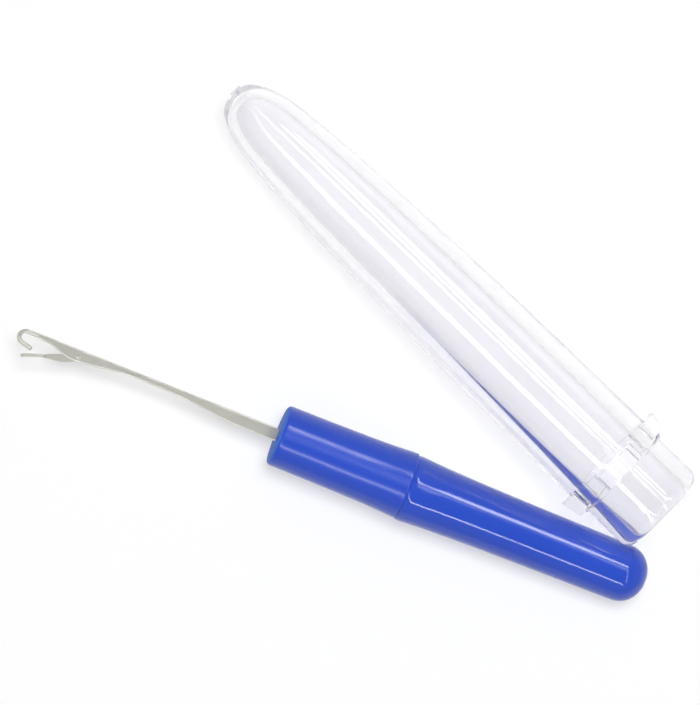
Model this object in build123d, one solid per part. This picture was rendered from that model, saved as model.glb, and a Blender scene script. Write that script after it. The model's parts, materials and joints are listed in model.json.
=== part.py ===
# Latch hook tool lying beside its clear cap: a riveted latch needle in a plastic handle.
# Lengths are in millimetres and angles in degrees. The cap's axis runs along +X towards
# its nose, +Z is up, and the origin is under the middle of the whole, on the table.

import os
from math import atan2, degrees

from build123d import *

# Handle, with its length measured back from the front face
handle_length = 63.9
front_length = 22.4
front_radius = 5.06
flare_radius = 5.2
flare_length = 7.5
ridge_radius = 5.52
face_rounding = 0.75
valley_depth = 0.16
valley_front_width = 0.35
valley_rear_width = 0.85
shoulder_radius = 5.27
shoulder_length = 5.2
tail_radius = 4.7
dome_length = 4.1
dome_flat_radius = 0.5
mould_shift = 0.2

# Needle, with its lengths measured forwards from the handle's front face
tang_depth = 20.0
tang_width = 2.08
tang_length = 5.8
back_offset = 0.95
shank_thickness = 1.1
waist_start = 15.0
waist_start_width = 1.3
waist_middle = 22.0
waist_width = 1.02
cheek_start = 27.3
cheek_start_width = 1.18
cheek_width = 2.02
cheek_top = 35.4
throat_start = 38.7
throat_start_width = 1.06
edge_rounding = 0.22

# Hook wire at the needle's end
wire_radius = 0.37
wire_start = 41.2
blade_margin = 0.03
bend_radius = 0.97
bend_angle = 167.0
bend_centre = 43.1
hook_tip_length = 1.56

# Slot and rivet that carry the latch
slot_width = 0.42
slot_behind_pivot = 4.4
slot_ahead_of_pivot = 4.6
slot_floor = 0.35
pivot_distance = 34.1
pivot_offset = 0.19
rivet_radius = 0.3
rivet_head_radius = 0.45
rivet_head_height = 0.09

# Latch, with its lengths measured from the pivot
latch_side_clearance = 0.05
latch_pivot_clearance = 0.03
latch_boss_radius = 0.58
latch_length = 9.23
latch_rest_angle = 20.0
belly_distance = 2.7
belly_depth = 0.88
neck_distance = 5.9
neck_half_width = 0.25
latch_back_depth = 0.36
spoon_root = 0.7
spoon_half_width = 0.6
spoon_half_depth = 0.26
spoon_rounding = 0.12
spoon_groove_radius = 0.42
spoon_groove_depth = 0.1

# Cap, with its lengths measured back from the nose's flat
cap_length = 95.8
tube_radius = 8.45
collar_distance = 83.2
collar_width = 3.6
collar_radius = 8.62
mouth_radius = 8.1
lip_length = 1.9
lip_depth = 1.5
nose_flat_radius = 1.5
nose_wall = 2.1
bore_end_radius = 0.9
bore_length = 23.5
bore_lead_in = 0.6
cap_clearance = 0.08
lug_count = 4
lug_radius = 10.2
lug_taper = 0.6
lug_width = 7.6
lug_length = 3.2
lug_rounding = 0.3
gate_radius = 0.9
gate_height = 0.45
gate_offset = 0.65

# The tool on the table, placed beside the cap by the end of its handle
tail_behind_mouth = 6.14
tail_beside_axis = 9.5
tool_angle = 22.5

overrun = 4.0
sample_count = 200

# Points of the cap's side and of its bore, in shares of their length and of their widest radius
side_shares = ((1, 1), (0.3192, 0.8572), (0.0981, 0.6979), (0.0155, 0.4149))
bore_shares = ((1, 1), (0.3711, 0.9084), (0.0909, 0.7191), (0.0157, 0.4358))
# Slopes of the handle's and the needle's curves where they meet their neighbours
flare_slope_share = 0.06
ridge_slope_share = 0.05
tail_slope_share = 0.018
throat_slope_share = 0.12
neck_slope_share = 0.1
boss_slope_share = 0.25
# How far a quarter curve's control points reach towards its corner
quarter_curve_share = 0.5523


def spin(outline):
    """Turns a closed half outline, drawn in X and radius, round the X axis."""
    return revolve(make_face(outline), Axis.X)


def flowing(points, leaves, arrives):
    """A smooth curve through points that leaves and arrives in the two directions given."""
    return Spline(*points, tangents=(leaves, arrives), tangent_scalars=(1, 1))


def round_edge(start, corner, end):
    """A quarter of an ellipse from start to end that leans into the corner."""
    share = quarter_curve_share
    first = (start[0] + share * (corner[0] - start[0]), start[1] + share * (corner[1] - start[1]))
    second = (end[0] + share * (corner[0] - end[0]), end[1] + share * (corner[1] - end[1]))
    return Bezier(start, first, second, end)


def front_section():
    """The handle ahead of the parting ridge, nearly straight and flaring into the ridge."""
    face_edge = (0, front_radius - face_rounding)
    side_start = (-face_rounding, front_radius)
    flare_start = (flare_length - front_length, flare_radius)
    ridge_edge = (valley_front_width - front_length, ridge_radius)
    valley = (-front_length, ridge_radius - valley_depth)
    outline = Line((0, 0), face_edge)
    outline += round_edge(face_edge, (0, front_radius), side_start)
    outline += flowing((side_start, flare_start, ridge_edge), (-1, 0), (-1, flare_slope_share))
    outline += round_edge(ridge_edge, (-front_length, ridge_radius), valley)
    outline += Polyline(valley, (-front_length, 0), (0, 0))
    return spin(outline)


def rear_section():
    """The handle behind the ridge, which drops from its shoulder and tapers to a domed end."""
    valley = (-front_length, ridge_radius - valley_depth)
    ridge_edge = (-front_length - valley_rear_width, ridge_radius)
    shoulder = (-front_length - shoulder_length, shoulder_radius)
    dome_start = (dome_length - handle_length, tail_radius)
    dome_corner = (-handle_length, tail_radius)
    dome_end = (-handle_length, dome_flat_radius)
    outline = Line((-front_length, 0), valley)
    outline += round_edge(valley, (-front_length, ridge_radius), ridge_edge)
    outline += flowing((ridge_edge, shoulder, dome_start), (-1, -ridge_slope_share), (-1, -tail_slope_share))
    outline += round_edge(dome_start, dome_corner, dome_end)
    outline += Polyline(dome_end, (-handle_length, 0), (-front_length, 0))
    return spin(outline).moved(Location((0, mould_shift, 0)))


def tang():
    """The flat bar that the needle is made from, as deep as the handle grips it."""
    bar = Box(tang_depth, tang_width, shank_thickness, align=(Align.MAX, Align.MIN, Align.CENTER))
    bar = bar.moved(Location((0, -back_offset, 0)))
    return fillet(bar.edges().filter_by(Axis.X), edge_rounding)


def needle_side_view():
    """The needle's outline on its wide face, with a straight back at -Y."""
    back = -back_offset
    tip_width = wire_radius * 2 + blade_margin * 2
    tang_end = (tang_length, back + tang_width)
    outline = Polyline((wire_start, back), (0, back), (0, back + tang_width), tang_end)
    belly = (
        tang_end,
        (waist_start, back + waist_start_width),
        (waist_middle, back + waist_width),
        (cheek_start, back + cheek_start_width),
        (cheek_top, back + cheek_width),
    )
    throat = (
        (cheek_top, back + cheek_width),
        (throat_start, back + throat_start_width),
        (wire_start, back + tip_width),
    )
    outline += flowing(belly, (1, 0), (1, 0))
    outline += flowing(throat, (1, -throat_slope_share), (1, 0))
    outline += Line((wire_start, back + tip_width), (wire_start, back))
    return make_face(outline)


def needle_top_view():
    """The needle's outline on its narrow side: the cheeks draw in to the hook's wire."""
    half = shank_thickness / 2
    tip_half = wire_radius + blade_margin
    outline = Polyline(
        (0, -half),
        (throat_start, -half),
        (wire_start, -tip_half),
        (wire_start, tip_half),
        (throat_start, half),
        (0, half),
        close=True,
    )
    return make_face(outline)


def hook_wire():
    """Round wire that leaves the blade, turns back on itself and ends in a round tip."""
    wire_line = wire_radius + blade_margin - back_offset
    start = (wire_start - wire_radius, wire_line)
    bend_start = (bend_centre, wire_line)
    path = Line(start, bend_start)
    path += JernArc(bend_start, (1, 0), bend_radius, bend_angle)
    bend_end = path @ 1
    heading = path % 1
    tip = bend_end + heading * hook_tip_length
    path += Line(bend_end, tip)
    wire = sweep(Plane(origin=start, z_dir=(1, 0, 0)) * Circle(wire_radius), path=path)
    return wire + Sphere(wire_radius).moved(Location(tip))


def latch_slot():
    """The slot between the cheeks, open on the needle's belly and closed at its back."""
    length = slot_behind_pivot + slot_ahead_of_pivot
    floor = slot_floor - back_offset
    cut = Box(length, cheek_width + overrun, slot_width, align=(Align.MIN, Align.MIN, Align.CENTER))
    return cut.moved(Location((pivot_distance - slot_behind_pivot, floor, 0)))


def needle():
    """Tang, shank, slotted cheeks and hook of one steel needle."""
    side = extrude(needle_side_view(), shank_thickness, both=True)
    top = Plane.XZ * needle_top_view()
    blade = side & extrude(top, cheek_width + overrun, both=True)
    long_edges = blade.edges().filter_by(lambda edge: edge.length > tang_length / 2)
    blade = fillet(long_edges, edge_rounding)
    rivet_hole = Cylinder(rivet_radius, shank_thickness + overrun)
    rivet_hole = rivet_hole.moved(Location((pivot_distance, pivot_offset, 0)))
    return blade + tang() + hook_wire() - latch_slot() - rivet_hole


def latch_rivet():
    """Rivet through both cheeks, with a low domed head on each side."""
    half = shank_thickness / 2
    head_top = half + rivet_head_height
    head_corner = (head_top, rivet_head_radius)
    outline = round_edge((head_top, 0), head_corner, (half, rivet_head_radius))
    outline += Polyline((half, rivet_head_radius), (half, rivet_radius), (0, rivet_radius))
    outline += Polyline((0, rivet_radius), (0, 0), (head_top, 0))
    rivet = spin(outline)
    rivet += mirror(rivet, Plane.YZ)
    upright = rivet.moved(Location((0, 0, 0), (0, 90, 0)))
    return upright.moved(Location((pivot_distance, pivot_offset, 0)))


def latch():
    """Swinging latch: a flat bellied blade on the rivet that ends in a spoon for the hook's tip."""
    back = -latch_back_depth
    neck = neck_half_width
    outline = Polyline((0, -latch_boss_radius), (belly_distance, back), (neck_distance, -neck))
    outline += Line((neck_distance, -neck), (neck_distance, neck))
    belly = ((neck_distance, neck), (belly_distance, belly_depth), (0, latch_boss_radius))
    outline += flowing(belly, (-1, neck_slope_share), (-1, -boss_slope_share))
    outline += Line((0, latch_boss_radius), (0, -latch_boss_radius))
    thickness = slot_width - latch_side_clearance * 2
    blade = extrude(make_face(outline), thickness / 2, both=True)
    blade += Cylinder(latch_boss_radius, thickness)
    spoon_length = latch_length - neck_distance + spoon_root
    spoon = extrude(Plane.XZ * Ellipse(spoon_length / 2, spoon_half_width), spoon_half_depth, both=True)
    spoon = fillet(spoon.edges(), spoon_rounding)
    spoon = spoon.moved(Location((latch_length - spoon_length / 2, 0, 0)))
    groove = Cylinder(spoon_groove_radius, spoon_length, rotation=(0, 90, 0))
    groove_line = spoon_groove_depth - spoon_half_depth - spoon_groove_radius
    groove = groove.moved(Location((latch_length - spoon_length / 2, groove_line, 0)))
    blade = blade + spoon - groove
    blade -= Cylinder(rivet_radius + latch_pivot_clearance, thickness + overrun)
    return blade.moved(Location((pivot_distance, pivot_offset, 0), (0, 0, latch_rest_angle)))


def narrowing(shares, length, radius, end):
    """Arcs that each run on from the last, from a straight start to a small flat end."""
    points = [(end[0] - length * along, radius * out) for along, out in shares] + [end]
    heading = (1, 0)
    outline = Curve()
    for start, stop in zip(points, points[1:]):
        arc = TangentArc(start, stop, tangent=heading)
        heading = arc % 1
        outline += arc
    return outline


def cap_side():
    """The cap's outer side from the collar to the nose's flat."""
    return narrowing(side_shares, collar_distance, tube_radius, (0, nose_flat_radius))


def cap_bore():
    """The bore, a straight seat for the handle's front that narrows on towards the nose."""
    radius = ridge_radius + mould_shift / 2 + cap_clearance
    mouth_edge = (-cap_length, radius + bore_lead_in)
    mouth_inside = (bore_lead_in - cap_length, radius)
    seat = (bore_length - cap_length, radius)
    bore_end = (-nose_wall, bore_end_radius)
    outside = -cap_length - overrun
    outline = Polyline((-nose_wall, 0), (outside, 0), (outside, radius + bore_lead_in), mouth_edge)
    outline += round_edge(mouth_edge, (-cap_length, radius), mouth_inside)
    outline += Line(mouth_inside, seat)
    outline += narrowing(bore_shares, cap_length - bore_length - nose_wall, radius, bore_end)
    outline += Line(bore_end, (-nose_wall, 0))
    return spin(outline)


def lug():
    """One flat-topped lug that stops the capped tool from rolling, lower towards the mouth."""
    tip_side = -collar_distance
    mouth_side = -collar_distance - lug_length
    outline = Polyline(
        (tip_side, mouth_radius - lip_depth),
        (tip_side, lug_radius),
        (mouth_side, lug_radius - lug_taper),
        (mouth_side, mouth_radius - lip_depth),
        close=True,
    )
    block = extrude(make_face(outline), lug_width / 2, both=True)
    outer = block.edges().filter_by(lambda edge: edge.center().Y > mouth_radius + lug_rounding)
    return fillet(outer, lug_rounding)


def cap():
    """Clear moulded cap: nose with its gate mark, thick tube, lugged collar and round-lipped mouth."""
    collar_end = -collar_distance - collar_width
    lip = (lip_length - cap_length, mouth_radius)
    mouth_edge = (-cap_length, mouth_radius - lip_depth)
    shell = Polyline((0, nose_flat_radius), (0, 0), (-cap_length, 0), mouth_edge)
    shell += round_edge(mouth_edge, (-cap_length, mouth_radius), lip)
    shell += Polyline(
        lip,
        (collar_end, mouth_radius),
        (collar_end, collar_radius),
        (-collar_distance, collar_radius),
        (-collar_distance, tube_radius),
    )
    shell += cap_side()
    body = spin(shell)
    gate = Cylinder(gate_radius, gate_height * 2, rotation=(0, 90, 0)).moved(Location((0, -gate_offset, 0)))
    lugs = [lug().moved(Location((0, 0, 0), (360 / lug_count * index, 0, 0))) for index in range(lug_count)]
    return body + gate + lugs - cap_bore()


def tool_pitch():
    """How far the handle's nose lifts as it lies on its ridge and its tapering rear."""
    ridge_line = front_length + valley_rear_width
    dome_line = handle_length - dome_length
    return degrees(atan2(ridge_radius - tail_radius, dome_line - ridge_line))


def cap_pitch():
    """How far the cap's mouth lifts as it lies on its lowest lug and its tube."""
    outline = cap_side()
    samples = [edge @ (index / sample_count) for edge in outline.edges() for index in range(sample_count)]
    slopes = [atan2(lug_radius - point.Y, collar_distance + point.X) for point in samples]
    return degrees(min(slopes))


def settle(pieces):
    """Lowers or lifts pieces together until they stand on the table."""
    lowest = min(piece.bounding_box().min.Z for piece in pieces)
    return [piece.moved(Location((0, 0, -lowest))) for piece in pieces]


handle = front_section() + rear_section() - tang()
tool_pieces = [handle, needle(), latch_rivet(), latch()]
tool_place = Location((-cap_length - tail_behind_mouth, tail_beside_axis, 0), (0, 0, tool_angle))
tool_place *= Location((handle_length, 0, 0), (0, -tool_pitch(), 0))
tool_pieces = settle([piece.moved(tool_place) for piece in tool_pieces])
cap_pieces = settle([cap().moved(Location((0, 0, 0), (0, cap_pitch(), 0)))])

corners = [piece.bounding_box() for piece in tool_pieces + cap_pieces]
middle_x = (min(box.min.X for box in corners) + max(box.max.X for box in corners)) / 2
middle_y = (min(box.min.Y for box in corners) + max(box.max.Y for box in corners)) / 2
centre = Location((-middle_x, -middle_y, 0))
names = ("handle", "needle", "latch_rivet", "latch", "cap")
os.makedirs("parts", exist_ok=True)
for name, piece in zip(names, tool_pieces + cap_pieces):
    export_step(piece.moved(centre), f"parts/{name}.step")
    print(name, piece.volume)
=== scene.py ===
# Latch hook tool and its clear cap, lying side by side on a white table.
# Lengths are in metres and angles in radians. Each piece is drawn in its own maker's frame, with X
# along the piece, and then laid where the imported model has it.

import json
from math import atan2, cos, pi, radians, sin, sqrt

import bmesh
import bpy
from mathutils import Matrix, Vector
from mathutils.geometry import interpolate_bezier


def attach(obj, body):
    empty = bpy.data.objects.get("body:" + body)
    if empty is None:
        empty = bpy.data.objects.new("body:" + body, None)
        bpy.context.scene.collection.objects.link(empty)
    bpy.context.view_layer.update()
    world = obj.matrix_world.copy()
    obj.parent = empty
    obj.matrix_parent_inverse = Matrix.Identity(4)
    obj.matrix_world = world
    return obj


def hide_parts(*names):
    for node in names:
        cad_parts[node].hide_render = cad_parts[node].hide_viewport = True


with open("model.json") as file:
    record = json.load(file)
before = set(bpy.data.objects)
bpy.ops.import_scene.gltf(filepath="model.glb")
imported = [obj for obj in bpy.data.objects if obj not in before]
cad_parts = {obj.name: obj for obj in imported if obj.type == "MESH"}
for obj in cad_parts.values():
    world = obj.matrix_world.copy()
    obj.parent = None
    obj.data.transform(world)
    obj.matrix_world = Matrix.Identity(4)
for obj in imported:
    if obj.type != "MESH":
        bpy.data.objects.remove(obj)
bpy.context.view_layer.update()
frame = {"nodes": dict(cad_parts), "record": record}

# Handle: one solid moulding in blue plastic round the needle's tang. Its front flares into the
# ring where the mould parts, and its rear, moved a little to one side, tapers to a domed end.
handle_length = 0.0639
front_length = 0.0224
front_radius = 0.00506
face_rounding = 0.00075
flare_radius = 0.0052
flare_length = 0.0075
flare_slope = 0.018
ridge_radius = 0.00552
ridge_front_slope = 0.06
ridge_rear_slope = -0.05
valley_depth = 0.00016
valley_front_width = 0.00035
valley_rear_width = 0.00085
shoulder_radius = 0.00527
shoulder_length = 0.0052
shoulder_slope = -0.04
tail_radius = 0.0047
tail_slope = -0.018
dome_length = 0.0041
dome_flat_radius = 0.0005
mould_shift = 0.0002
handle_steps = 192
rounding_reach = 0.5523
merge_distance = 2e-7


def sweep_line(start, lean, arrive, end, count):
    """Points of a smooth line in X and radius, leaving towards lean and arriving from arrive."""
    corners = [Vector((x, radius, 0)) for x, radius in (start, lean, arrive, end)]
    return [(point.x, point.y) for point in interpolate_bezier(*corners, count)]


def rounded(start, corner, end, count):
    """A quarter round from start to end that leans into its corner."""
    lean = [a + rounding_reach * (c - a) for a, c in zip(start, corner)]
    arrive = [b + rounding_reach * (c - b) for b, c in zip(end, corner)]
    return sweep_line(start, lean, arrive, end, count)


def easing(start, slope, end, end_slope, count):
    """A long smooth line towards -X whose radius changes at the two slopes given at its ends."""
    reach = (start[0] - end[0]) / 3
    lean = (start[0] - reach, start[1] + slope * reach)
    arrive = (end[0] + reach, end[1] - end_slope * reach)
    return sweep_line(start, lean, arrive, end, count)


def turned(lines, steps):
    """A bmesh turned round the X axis from lines of points in X and radius."""
    shape = bmesh.new()
    last = None
    for line in lines:
        for x, radius in line:
            spot = shape.verts.new((x, radius, 0))
            if last is not None:
                shape.edges.new((last, spot))
            last = spot
    bmesh.ops.remove_doubles(shape, verts=shape.verts, dist=merge_distance)
    bmesh.ops.spin(
        shape,
        geom=shape.verts[:] + shape.edges[:],
        cent=(0, 0, 0),
        axis=(1, 0, 0),
        angle=2 * pi,
        steps=steps,
        use_merge=True,
    )
    bmesh.ops.remove_doubles(shape, verts=shape.verts, dist=merge_distance)
    bmesh.ops.recalc_face_normals(shape, faces=shape.faces)
    return shape


def piece_from(shape, name, place, sharp_angle=radians(40)):
    """Makes a finished piece from a bmesh, smooth but for its sharp edges, laid in its place."""
    mesh = bpy.data.meshes.new(name)
    shape.to_mesh(mesh)
    shape.free()
    mesh.transform(place)
    mesh.shade_smooth()
    mesh.set_sharp_from_angle(angle=sharp_angle)
    piece = bpy.data.objects.new(name, mesh)
    bpy.context.scene.collection.objects.link(piece)
    return piece


face_edge = (0, front_radius - face_rounding)
side_start = (-face_rounding, front_radius)
flare_start = (flare_length - front_length, flare_radius)
ridge_front = (valley_front_width - front_length, ridge_radius)
ridge_top = (-front_length, ridge_radius)
valley = (-front_length, ridge_radius - valley_depth)
parting_middle = [(-front_length, front_radius / 2), (-front_length, 0)]
front_shape = turned(
    [
        [(0, 0), (0, front_radius / 3), (0, front_radius * 2 / 3)],
        rounded(face_edge, (0, front_radius), side_start, count=12),
        easing(side_start, 0, flare_start, flare_slope, count=24),
        easing(flare_start, flare_slope, ridge_front, ridge_front_slope, count=24),
        rounded(ridge_front, ridge_top, valley, count=8),
        parting_middle,
    ],
    handle_steps,
)

ridge_rear = (-front_length - valley_rear_width, ridge_radius)
shoulder = (-front_length - shoulder_length, shoulder_radius)
dome_start = (dome_length - handle_length, tail_radius)
dome_corner = (-handle_length, tail_radius)
dome_end = (-handle_length, dome_flat_radius)
rear_shape = turned(
    [
        parting_middle[::-1],
        rounded(valley, ridge_top, ridge_rear, count=12),
        easing(ridge_rear, ridge_rear_slope, shoulder, shoulder_slope, count=16),
        easing(shoulder, shoulder_slope, dome_start, tail_slope, count=60),
        rounded(dome_start, dome_corner, dome_end, count=40),
        [(-handle_length, 0)],
    ],
    handle_steps,
)
bmesh.ops.translate(rear_shape, verts=rear_shape.verts, vec=(0, mould_shift, 0))
rear_mesh = bpy.data.meshes.new("handle_rear")
rear_shape.to_mesh(rear_mesh)
rear_shape.free()
front_shape.from_mesh(rear_mesh)


def laid(start, along, upward):
    """The matrix that lays a piece down from its start, with X along it and Z up out of it."""
    side = upward.cross(along).normalized()
    turn = Matrix((along, side, along.cross(side))).transposed()
    return Matrix.Translation(start) @ turn.to_4x4()


# The tool lies on its ridge and its tapering rear. Its own frame starts at the middle of the
# handle's front face, runs out along the needle and is found from the latch's pivot.
pivot_distance = 0.0341
pivot_offset = 0.00019
mounts = {mount["name"]: mount for mount in frame["record"]["mounts"]}
joints = {joint["name"]: joint for joint in frame["record"]["behaviour"]["joints"]}
swing = joints["latch_swing"]
needle_way = Vector(mounts["yarn_hook"]["axis"]).normalized()
rivet_way = Vector(swing["axis"]).normalized()
pivot_place = laid(Vector(swing["pos_m"]), needle_way, rivet_way)
tool_place = pivot_place @ Matrix.Translation((-pivot_distance, -pivot_offset, 0))
handle = piece_from(front_shape, "handle_moulding", tool_place)


def material(name, place):
    """A new material, its node tree, its shader and the coordinates of the piece's own frame."""
    made = bpy.data.materials.new(name)
    made.use_nodes = True
    tree = made.node_tree
    own_frame = tree.nodes.new("ShaderNodeMapping")
    own_frame.vector_type = "TEXTURE"
    own_frame.inputs["Location"].default_value = place.to_translation()
    own_frame.inputs["Rotation"].default_value = place.to_euler()
    coordinates = tree.nodes.new("ShaderNodeTexCoord")
    tree.links.new(coordinates.outputs["Object"], own_frame.inputs["Vector"])
    return made, tree, tree.nodes["Principled BSDF"], own_frame.outputs["Vector"]


def cloud(tree, space, grain, detail=2):
    """Noise from 0 to 1 whose grain is finer the larger each of its three numbers."""
    stretch = tree.nodes.new("ShaderNodeVectorMath")
    stretch.operation = "MULTIPLY"
    stretch.inputs[1].default_value = grain
    tree.links.new(space, stretch.inputs[0])
    noise = tree.nodes.new("ShaderNodeTexNoise")
    noise.inputs["Scale"].default_value = 1
    noise.inputs["Detail"].default_value = detail
    tree.links.new(stretch.outputs["Vector"], noise.inputs["Vector"])
    return noise.outputs["Fac"]


def ramp(tree, source, low, high, start, end):
    """Turns a pattern's values between low and high into values from start to end."""
    step = tree.nodes.new("ShaderNodeMapRange")
    step.inputs["From Min"].default_value = low
    step.inputs["From Max"].default_value = high
    step.inputs["To Min"].default_value = start
    step.inputs["To Max"].default_value = end
    tree.links.new(source, step.inputs["Value"])
    return step.outputs["Result"]


def mixed(tree, factor, first, second):
    """A colour that a pattern changes from the first, plain or a pattern itself, to the second."""
    tint = tree.nodes.new("ShaderNodeMix")
    tint.data_type = "RGBA"
    if isinstance(first, tuple):
        tint.inputs["A"].default_value = first
    else:
        tree.links.new(first, tint.inputs["A"])
    tint.inputs["B"].default_value = second
    tree.links.new(factor, tint.inputs["Factor"])
    return tint.outputs["Result"]


def joined(tree, first, second, operation):
    """A pattern joined with another one, or with a number, by the operation named."""
    step = tree.nodes.new("ShaderNodeMath")
    step.operation = operation
    tree.links.new(first, step.inputs[0])
    if isinstance(second, float):
        step.inputs[1].default_value = second
    else:
        tree.links.new(second, step.inputs[1])
    return step.outputs["Value"]


def relief(tree, height, strength, depth, below=None):
    """A bump of the given depth made from a pattern, over another bump when one is given."""
    bump = tree.nodes.new("ShaderNodeBump")
    bump.inputs["Strength"].default_value = strength
    bump.inputs["Distance"].default_value = depth
    tree.links.new(height, bump.inputs["Height"])
    if below is not None:
        tree.links.new(below, bump.inputs["Normal"])
    return bump.outputs["Normal"]


# The plastic has slow swirls of colour and shallow sink marks. Handling has dulled the front
# section more than the polished rear, and left fine lengthwise scuffs on both.
bright_blue = (0.022, 0.08, 0.6, 1)
deep_blue = (0.018, 0.069, 0.55, 1)
rear_roughness = 0.085
front_roughness = 0.2
plastic_ior = 1.5
blue, tree, shader, space = material("blue_moulded_plastic", tool_place)
shader.inputs["IOR"].default_value = plastic_ior
swirls = mixed(tree, cloud(tree, space, grain=(60, 110, 110)), bright_blue, deep_blue)
swirls.node.name = "swirls"
tree.links.new(swirls, shader.inputs["Base Color"])
split = tree.nodes.new("ShaderNodeSeparateXYZ")
tree.links.new(space, split.inputs["Vector"])
parting = (-front_length, mould_shift - front_length)
sections = ramp(tree, split.outputs["X"], *parting, rear_roughness, front_roughness)
sections.node.name = "sections"
fine_lines = cloud(tree, space, grain=(260, 2600, 2600), detail=4)
scuffs = ramp(tree, fine_lines, low=0.56, high=0.75, start=0, end=0.09)
patches = cloud(tree, space, grain=(700, 700, 700), detail=3)
haze = ramp(tree, patches, low=0.3, high=0.8, start=-0.01, end=0.02)
worn = joined(tree, joined(tree, sections, scuffs, "ADD"), haze, "ADD")
tree.links.new(worn, shader.inputs["Roughness"])
slow_waves = cloud(tree, space, grain=(45, 55, 55), detail=1)
sink_marks = relief(tree, slow_waves, strength=0.1, depth=0.0006)
grit = cloud(tree, space, grain=(2400, 5200, 5200))
skin = relief(tree, grit, strength=0.04, depth=0.00001, below=sink_marks)
tree.links.new(skin, shader.inputs["Normal"])
handle.data.materials.append(blue)

# The front face is matt. Its lighter blue is painted glow, standing in for light let through where
# the plastic is rounded off.
painted_glow_face_blue = (0.075, 0.21, 0.78, 1)
painted_glow_deep_blue = (0.06, 0.18, 0.72, 1)
matt_roughness = 0.5
matt_shine = 0.12
matt_blue = blue.copy()
matt_blue.name = "matt_blue_face"
matt_nodes = matt_blue.node_tree.nodes
matt_nodes["Principled BSDF"].inputs["Specular IOR Level"].default_value = matt_shine
matt_nodes["sections"].inputs["To Min"].default_value = matt_roughness
matt_nodes["sections"].inputs["To Max"].default_value = matt_roughness
# Painted glow: the face's swirls are set to lighter blues than the body's.
matt_nodes["swirls"].inputs["A"].default_value = painted_glow_face_blue
matt_nodes["swirls"].inputs["B"].default_value = painted_glow_deep_blue
handle.data.materials.append(matt_blue)
tool_frame = tool_place.inverted()
for face in handle.data.polygons:
    if (tool_frame @ face.center).x > -face_rounding / 2:
        face.material_index = 1
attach(handle, "tool")
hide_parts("handle")


# Needle, latch and rivet: flat steel strip, forged into cheeks and drawn to a round hook, with the
# latch swinging on a rivet between the cheeks. All three are dull satin steel, brushed lengthwise
# and rubbed brighter in places by yarn, and keep the shapes they were packed with.
dull_steel = (0.68, 0.675, 0.61, 1)
rubbed_steel = (0.73, 0.725, 0.665, 1)
steel, tree, shader, space = material("satin_steel", tool_place)
shader.inputs["Metallic"].default_value = 1.0
brushing = cloud(tree, space, grain=(420, 9000, 9000), detail=3)
rubbed = cloud(tree, space, grain=(500, 900, 900), detail=3)
bright_spots = ramp(tree, rubbed, low=0.35, high=0.7, start=0, end=1)
tree.links.new(mixed(tree, bright_spots, dull_steel, rubbed_steel), shader.inputs["Base Color"])
brushed = ramp(tree, brushing, low=0.3, high=0.75, start=0.36, end=0.5)
polish = ramp(tree, rubbed, low=0.45, high=0.75, start=0, end=-0.08)
tree.links.new(joined(tree, brushed, polish, "ADD"), shader.inputs["Roughness"])
hammering = cloud(tree, space, grain=(900, 1300, 1300))
forging = relief(tree, hammering, strength=0.03, depth=0.00003)
brush_marks = relief(tree, brushing, strength=0.12, depth=0.000006, below=forging)
tree.links.new(brush_marks, shader.inputs["Normal"])
for name in ("needle", "latch", "latch_rivet"):
    node = frame["nodes"][name]
    node.data.materials.clear()
    node.data.materials.append(steel)


# Cap: one thick-walled moulding in clear plastic, with a blunt nose that bears the gate's mark, a
# long tapering tube, a collar with four flat-topped lugs, and a round-lipped mouth. Its bore slides
# over the handle's ridge.
cap_length = 0.0958
tube_radius = 0.00845
tube_slope = 0.003
tube_reach = 0.04
collar_distance = 0.0832
collar_width = 0.0036
collar_radius = 0.00862
collar_rounding = 0.00012
mouth_radius = 0.0081
lip_length = 0.0019
lip_depth = 0.0015
nose_flat_radius = 0.0015
nose_radius = 0.00587
nose_length = 0.008
nose_bulge = 0.0018
nose_slope = 0.13
nose_reach = 0.0044
nose_wall = 0.0021
nose_rings = 16
taper_reach = 0.009
bore_end_radius = 0.0009
bore_end_bulge = 0.0013
bore_nose_radius = 0.00415
bore_nose_length = 0.009
bore_nose_slope = 0.09
cap_clearance = 0.00008
bore_length = 0.0235
bore_lead_in = 0.0006
bore_radius = ridge_radius + mould_shift / 2 + cap_clearance
bore_slope = 0.002
lug_count = 4
lug_radius = 0.01013
lug_taper = 0.0006
lug_width = 0.0076
lug_length = 0.0032
gate_radius = 0.0009
gate_height = 0.00045
gate_offset = 0.00065
gate_edge = 0.00012
cap_steps = 300


def narrow_end(flat, bulge, middle, slope, wide, wide_slope):
    """A blunt end's curve up to a middle point, and on along the long taper behind it."""
    before = (middle[0] + nose_reach, middle[1] - nose_reach * slope)
    after = (middle[0] - taper_reach, middle[1] + taper_reach * slope)
    last = (wide[0] + tube_reach, wide[1] - tube_reach * wide_slope)
    blunt = sweep_line(flat, (flat[0], flat[1] + bulge), before, middle, count=32)
    return blunt + sweep_line(middle, after, last, wide, count=56)


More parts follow.
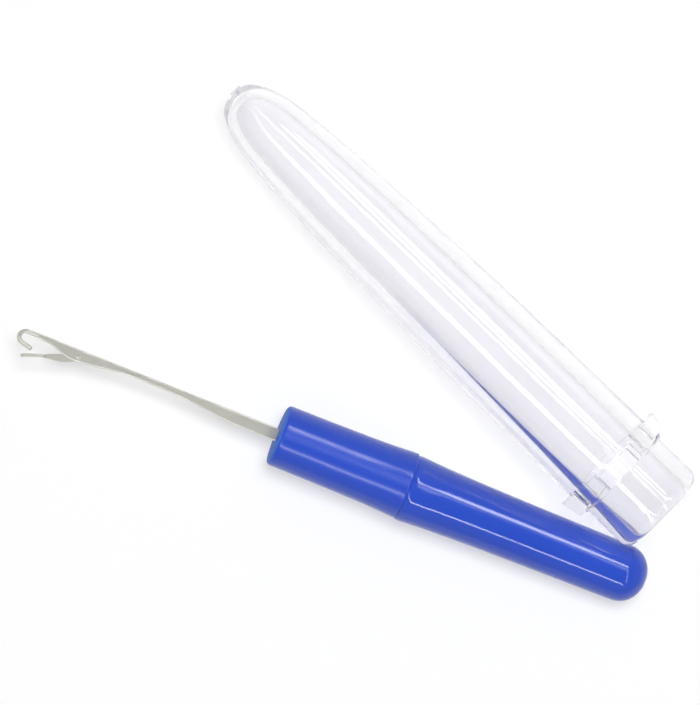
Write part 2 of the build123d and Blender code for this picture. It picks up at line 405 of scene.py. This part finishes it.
nose_flat = [(0, nose_flat_radius * ring / nose_rings) for ring in range(nose_rings)]
nose_edge = (0, nose_flat_radius)
nose_middle = (-nose_length, nose_radius)
collar_tip = -collar_distance
lug_end = -collar_distance - lug_length
collar_end = -collar_distance - collar_width
tube_end = (collar_tip, tube_radius)
collar_side = collar_radius - collar_rounding
lip = (lip_length - cap_length, mouth_radius)
mouth_edge = (-cap_length, mouth_radius - lip_depth)
mouth_inside = (-cap_length, bore_radius + bore_lead_in)
seat_start = (bore_lead_in - cap_length, bore_radius)
seat_end = (bore_length - cap_length, bore_radius)
bore_end = (-nose_wall, bore_end_radius)
bore_nose = (-bore_nose_length, bore_nose_radius)
bore_taper = narrow_end(bore_end, bore_end_bulge, bore_nose, bore_nose_slope, seat_end, bore_slope)
cap_shape = turned(
    [
        nose_flat,
        narrow_end(nose_edge, nose_bulge, nose_middle, nose_slope, tube_end, tube_slope),
        rounded(
            (collar_tip, collar_side),
            (collar_tip, collar_radius),
            (collar_tip - collar_rounding, collar_radius),
            count=5,
        ),
        [(lug_end, collar_radius)],
        rounded(
            (collar_end + collar_rounding, collar_radius),
            (collar_end, collar_radius),
            (collar_end, collar_side),
            count=5,
        ),
        [(collar_end, mouth_radius)],
        easing((collar_end, mouth_radius), 0, lip, 0, count=10),
        rounded(lip, (-cap_length, mouth_radius), mouth_edge, count=20),
        rounded(mouth_inside, (-cap_length, bore_radius), seat_start, count=8),
        easing(seat_start, 0, seat_end, 0, count=12),
        bore_taper[::-1],
        [(-nose_wall, bore_end_radius / 2), (-nose_wall, 0)],
    ],
    cap_steps,
)


def smooth_step(value):
    """Rises from 0 to 1 with level ends, for values from 0 to 1."""
    value = min(max(value, 0), 1)
    return value * value * (3 - 2 * value)


# The gate's mark stands proud of the nose's flat, a little off its middle.
flatness = 1e-6
for vert in cap_shape.verts:
    if vert.co.x > -flatness:
        away = sqrt((vert.co.y + gate_offset) ** 2 + vert.co.z ** 2)
        vert.co.x += gate_height * smooth_step((gate_radius + gate_edge - away) / gate_edge)

# Each lug is drawn out of the collar's band and levelled off, lower towards the mouth.
lug_half_turn = atan2(lug_width / 2, sqrt(collar_radius ** 2 - (lug_width / 2) ** 2))
for index in range(lug_count):
    outward = Matrix.Rotation(2 * pi * index / lug_count, 3, "X") @ Vector((0, 0, 1))
    across = outward.cross(Vector((1, 0, 0)))
    faces = []
    for face in cap_shape.faces:
        middle = face.calc_center_median()
        on_band = lug_end < middle.x < collar_tip and middle.yz.length > collar_side
        if on_band and abs(atan2(middle.dot(across), middle.dot(outward))) < lug_half_turn:
            faces.append(face)
    drawn = bmesh.ops.extrude_face_region(cap_shape, geom=faces)["geom"]
    left_inside = [face for face in faces if face.is_valid]
    bmesh.ops.delete(cap_shape, geom=left_inside, context="FACES")
    for vert in (item for item in drawn if isinstance(item, bmesh.types.BMVert)):
        share = (collar_tip - vert.co.x) / lug_length
        height = lug_radius - lug_taper * share
        vert.co += outward * (height - vert.co.dot(outward))
bmesh.ops.recalc_face_normals(cap_shape, faces=cap_shape.faces)

# The cap lies on one lug and the side of its tube. Its own frame starts at the flat of the nose,
# which is found from the middle of the bore's straight seat.
cap_way = -Vector(mounts["cap_mouth"]["axis"]).normalized()
seat_middle = cap_length - bore_length / 2 - bore_lead_in / 2
cap_start = Vector(mounts["cap_mouth"]["pos_m"]) + cap_way * seat_middle
cap_place = laid(cap_start, cap_way, Vector((0, 0, 1)))
cap = piece_from(cap_shape, "clear_cap", cap_place, sharp_angle=radians(30))

# The plastic is clear with a trace of lavender. Where its surface slants away from the view, its
# tint is deepened as painted shade, standing in for the longer way light crosses it there, so that
# its sides are darker; the edge of its pale shadow is darker as well. It is lightly scuffed along
# its length and a little wavy.
pale_lavender = (0.93, 0.925, 0.944, 1)
fuller_lavender = (0.905, 0.9, 0.92, 1)
painted_slant_shade_lavender = (0.73, 0.73, 0.765, 1)
pale_shade = (0.92, 0.92, 0.935, 1)
edge_shade = (0.2, 0.2, 0.24, 1)
clear, tree, shader, space = material("clear_plastic", cap_place)
shader.inputs["Transmission Weight"].default_value = 1.0
shader.inputs["IOR"].default_value = plastic_ior
slant = tree.nodes.new("ShaderNodeLayerWeight")
slant.inputs["Blend"].default_value = 0.5
streaks = cloud(tree, space, grain=(30, 160, 160))
trace = mixed(tree, streaks, pale_lavender, fuller_lavender)
# Painted shade: the tint deepens towards the sides as the surface slants away.
sides = ramp(tree, slant.outputs["Facing"], low=0.4, high=0.85, start=0, end=1)
tree.links.new(mixed(tree, sides, trace, painted_slant_shade_lavender), shader.inputs["Base Color"])
fine_lines = cloud(tree, space, grain=(240, 2200, 2200), detail=4)
scuffs = ramp(tree, fine_lines, low=0.58, high=0.78, start=0, end=0.03)
scuffs.node.name = "scuffs"
patches = cloud(tree, space, grain=(500, 500, 500))
haze = ramp(tree, patches, low=0.3, high=0.75, start=0.006, end=0.016)
haze.node.name = "haze"
tree.links.new(joined(tree, scuffs, haze, "ADD"), shader.inputs["Roughness"])
waves = cloud(tree, space, grain=(30, 60, 60), detail=1)
ripple = relief(tree, waves, strength=0.02, depth=0.0005)
tree.links.new(ripple, shader.inputs["Normal"])
shade = ramp(tree, slant.outputs["Facing"], low=0.25, high=1, start=0, end=1)
passing = tree.nodes.new("ShaderNodeBsdfTransparent")
tree.links.new(mixed(tree, shade, pale_shade, edge_shade), passing.inputs["Color"])
rays = tree.nodes.new("ShaderNodeLightPath")
lamp_way = tree.nodes.new("ShaderNodeMixShader")
tree.links.new(rays.outputs["Is Shadow Ray"], lamp_way.inputs["Fac"])
tree.links.new(shader.outputs["BSDF"], lamp_way.inputs[1])
tree.links.new(passing.outputs["BSDF"], lamp_way.inputs[2])
tree.links.new(lamp_way.outputs["Shader"], tree.nodes["Material Output"].inputs["Surface"])
cap.data.materials.append(clear)

# The bore and the lugs were left less polished than the outside.
bore_dulling = 0.06
dull = clear.copy()
dull.name = "clear_plastic_bore"
for wear in ("scuffs", "haze"):
    dull.node_tree.nodes[wear].inputs["To Min"].default_value += bore_dulling / 2
    dull.node_tree.nodes[wear].inputs["To Max"].default_value += bore_dulling / 2
cap.data.materials.append(dull)
cap_frame = cap_place.inverted()
cap_turn = cap_place.to_3x3()
lip_middle = mouth_radius - lip_depth
for face in cap.data.polygons:
    centre = cap_frame @ face.center
    outward = cap_turn @ Vector((0, centre.y, centre.z))
    on_lug = centre.yz.length > collar_radius + collar_rounding
    within_lip = centre.x < -nose_wall / 2 and centre.yz.length < lip_middle
    faces_in = face.normal.dot(outward) < 0 or centre.x > -bore_nose_length
    if on_lug or within_lip and faces_in:
        face.material_index = 1
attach(cap, "cap")
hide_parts("cap")


# Table: a wide matt white sheet that takes the shadows. Its own whiteness shows only where it is
# seen, straight or in shiny and clear surfaces, and lights nothing.
table_size = 0.9
table_colour = 0.7
table_whiteness = 0.285
table_roughness = 0.9
table_shape = bmesh.new()
bmesh.ops.create_grid(table_shape, x_segments=1, y_segments=1, size=table_size)
table = piece_from(table_shape, "table", Matrix.Identity(4))
white, tree, shader, _ = material("white_table", Matrix.Identity(4))
shader.inputs["Base Color"].default_value = (table_colour, table_colour, table_colour, 1)
shader.inputs["Roughness"].default_value = table_roughness
shader.inputs["Specular IOR Level"].default_value = 0.0


def clean_rays(tree):
    """The light path, and 1 for a mirrored or bent ray that has met no dull surface before."""
    rays = tree.nodes.new("ShaderNodeLightPath")
    glossy, through = rays.outputs["Is Glossy Ray"], rays.outputs["Is Transmission Ray"]
    first_surface = joined(tree, rays.outputs["Diffuse Depth"], 0.5, "LESS_THAN")
    return rays, joined(tree, joined(tree, glossy, through, "MAXIMUM"), first_surface, "MULTIPLY")


rays, clean = clean_rays(tree)
seen = joined(tree, rays.outputs["Is Camera Ray"], clean, "MAXIMUM")
shader.inputs["Emission Color"].default_value = (1, 1, 1, 1)
whiteness = joined(tree, seen, table_whiteness, "MULTIPLY")
tree.links.new(whiteness, shader.inputs["Emission Strength"])
table.data.materials.append(white)


# Camera: it hangs over the table with a long lens, a little off straight down.
camera_distance = 0.8
camera_tilt = radians(4)
camera_tilt_way = radians(22)
camera_turn = -0.797
view_middle = Vector((0.008916, -0.005244, 0.006))
pixels_per_metre = 6255
photo_width = 700
sensor_millimetres = 36
lean_out = sin(camera_tilt)
back = Vector((lean_out * cos(camera_tilt_way), lean_out * sin(camera_tilt_way), cos(camera_tilt)))
right = Vector((cos(camera_turn), sin(camera_turn), 0)).cross(back).normalized()
view_turn = Matrix((right, back.cross(right), back)).transposed().to_4x4()
camera_data = bpy.data.cameras.new("camera")
camera_data.sensor_fit = "HORIZONTAL"
camera_data.sensor_width = sensor_millimetres
camera_data.lens = sensor_millimetres * pixels_per_metre * camera_distance / photo_width
camera_data.clip_start = 0.01
camera = bpy.data.objects.new("camera", camera_data)
camera.matrix_world = Matrix.Translation(view_middle + back * camera_distance) @ view_turn
bpy.context.scene.collection.objects.link(camera)
bpy.context.scene.camera = camera


# Lamps: a panel and two long strips beside the lens leave the streaks of light on the plastic and
# throw no shadow. A softer light overhead, kept out of the reflections, throws the shadows.
lamp_height = 1.2


def lamp(name, centre, size, lean, radiance):
    """A soft panel that hangs beside the lens and faces the table's middle.

    Its centre and size are shares of its height, X right and Y up in the picture, and it leans
    from upright towards the right.
    """
    data = bpy.data.lights.new(name, "AREA")
    data.shape = "RECTANGLE"
    data.size = size[0] * lamp_height
    data.size_y = size[1] * lamp_height
    data.energy = radiance * pi * data.size * data.size_y
    made = bpy.data.objects.new(name, data)
    spot = Vector((centre[0], centre[1], 1)) * lamp_height
    away = spot.normalized()
    side = Vector((sin(lean), cos(lean), 0)).cross(away).normalized()
    turn = Matrix((side, away.cross(side), away)).transposed().to_4x4()
    over_table = Matrix.Translation(view_middle) @ view_turn @ Matrix.Translation(spot)
    made.matrix_world = over_table @ turn
    bpy.context.scene.collection.objects.link(made)
    return made


upper_panel = lamp("upper_panel", centre=(0.54, 0.62), size=(0.13, 0.5), lean=0, radiance=11)
right_strip = lamp("right_strip", centre=(0.49, -0.25), size=(0.14, 1.2), lean=0, radiance=3)
left_strip = lamp(
    "left_strip", centre=(-0.18, -0.55), size=(0.06, 1.3), lean=radians(-25), radiance=14
)
for streak_lamp in (upper_panel, right_strip, left_strip):
    streak_lamp.data.use_shadow = False
roof_light = lamp("roof_light", centre=(0.12, 0.17), size=(0.38, 0.38), lean=0, radiance=12)
roof_light.visible_glossy = False
roof_light.visible_transmission = False


# Tent: pale paper round the table, white at its walls and dimmer overhead, where the camera hangs.
# It adds a little light, and shows brighter in shiny and clear surfaces. The camera sees it white.
fill_light = 0.15
fill_colour = (0.97, 0.98, 1, 1)
tent_colour = (0.98, 0.98, 1, 1)
wall_height = 0.45
overhead_height = 0.95
mirrored_walls = 0.6
mirrored_overhead = 0.3
walls_through_cap = 1.0
overhead_through_cap = 0.25
world = bpy.data.worlds.new("light_tent")
world.use_nodes = True
bpy.context.scene.world = world
tree = world.node_tree
direction = tree.nodes.new("ShaderNodeTexCoord")
split = tree.nodes.new("ShaderNodeSeparateXYZ")
tree.links.new(direction.outputs["Generated"], split.inputs["Vector"])


def tent_light(walls, overhead):
    """How bright the tent is from its walls up to the dimmer part round the camera."""
    light = ramp(tree, split.outputs["Z"], wall_height, overhead_height, walls, overhead)
    light.node.interpolation_type = "SMOOTHSTEP"
    return light


rays, clean = clean_rays(tree)
tent_strength = tree.nodes.new("ShaderNodeMix")
tree.links.new(rays.outputs["Is Transmission Ray"], tent_strength.inputs["Factor"])
tree.links.new(tent_light(mirrored_walls, mirrored_overhead), tent_strength.inputs["A"])
tree.links.new(tent_light(walls_through_cap, overhead_through_cap), tent_strength.inputs["B"])
fill = tree.nodes["Background"]
fill.inputs["Color"].default_value = fill_colour
fill.inputs["Strength"].default_value = fill_light
tent = tree.nodes.new("ShaderNodeBackground")
tent.inputs["Color"].default_value = tent_colour
tree.links.new(tent_strength.outputs["Result"], tent.inputs["Strength"])
paper = tree.nodes.new("ShaderNodeBackground")
paper.inputs["Color"].default_value = (1, 1, 1, 1)
in_surfaces = tree.nodes.new("ShaderNodeMixShader")
tree.links.new(clean, in_surfaces.inputs["Fac"])
tree.links.new(fill.outputs["Background"], in_surfaces.inputs[1])
tree.links.new(tent.outputs["Background"], in_surfaces.inputs[2])
in_view = tree.nodes.new("ShaderNodeMixShader")
tree.links.new(rays.outputs["Is Camera Ray"], in_view.inputs["Fac"])
tree.links.new(in_surfaces.outputs["Shader"], in_view.inputs[1])
tree.links.new(paper.outputs["Background"], in_view.inputs[2])
tree.links.new(in_view.outputs["Shader"], tree.nodes["World Output"].inputs["Surface"])

# Light runs on inside the thick clear ends until it gets out.
path_steps = 32
bpy.context.scene.cycles.max_bounces = path_steps
bpy.context.scene.cycles.glossy_bounces = path_steps
bpy.context.scene.cycles.transmission_bounces = path_steps
bpy.context.scene.cycles.transparent_max_bounces = path_steps

bpy.context.scene.view_settings.view_transform = "Standard"
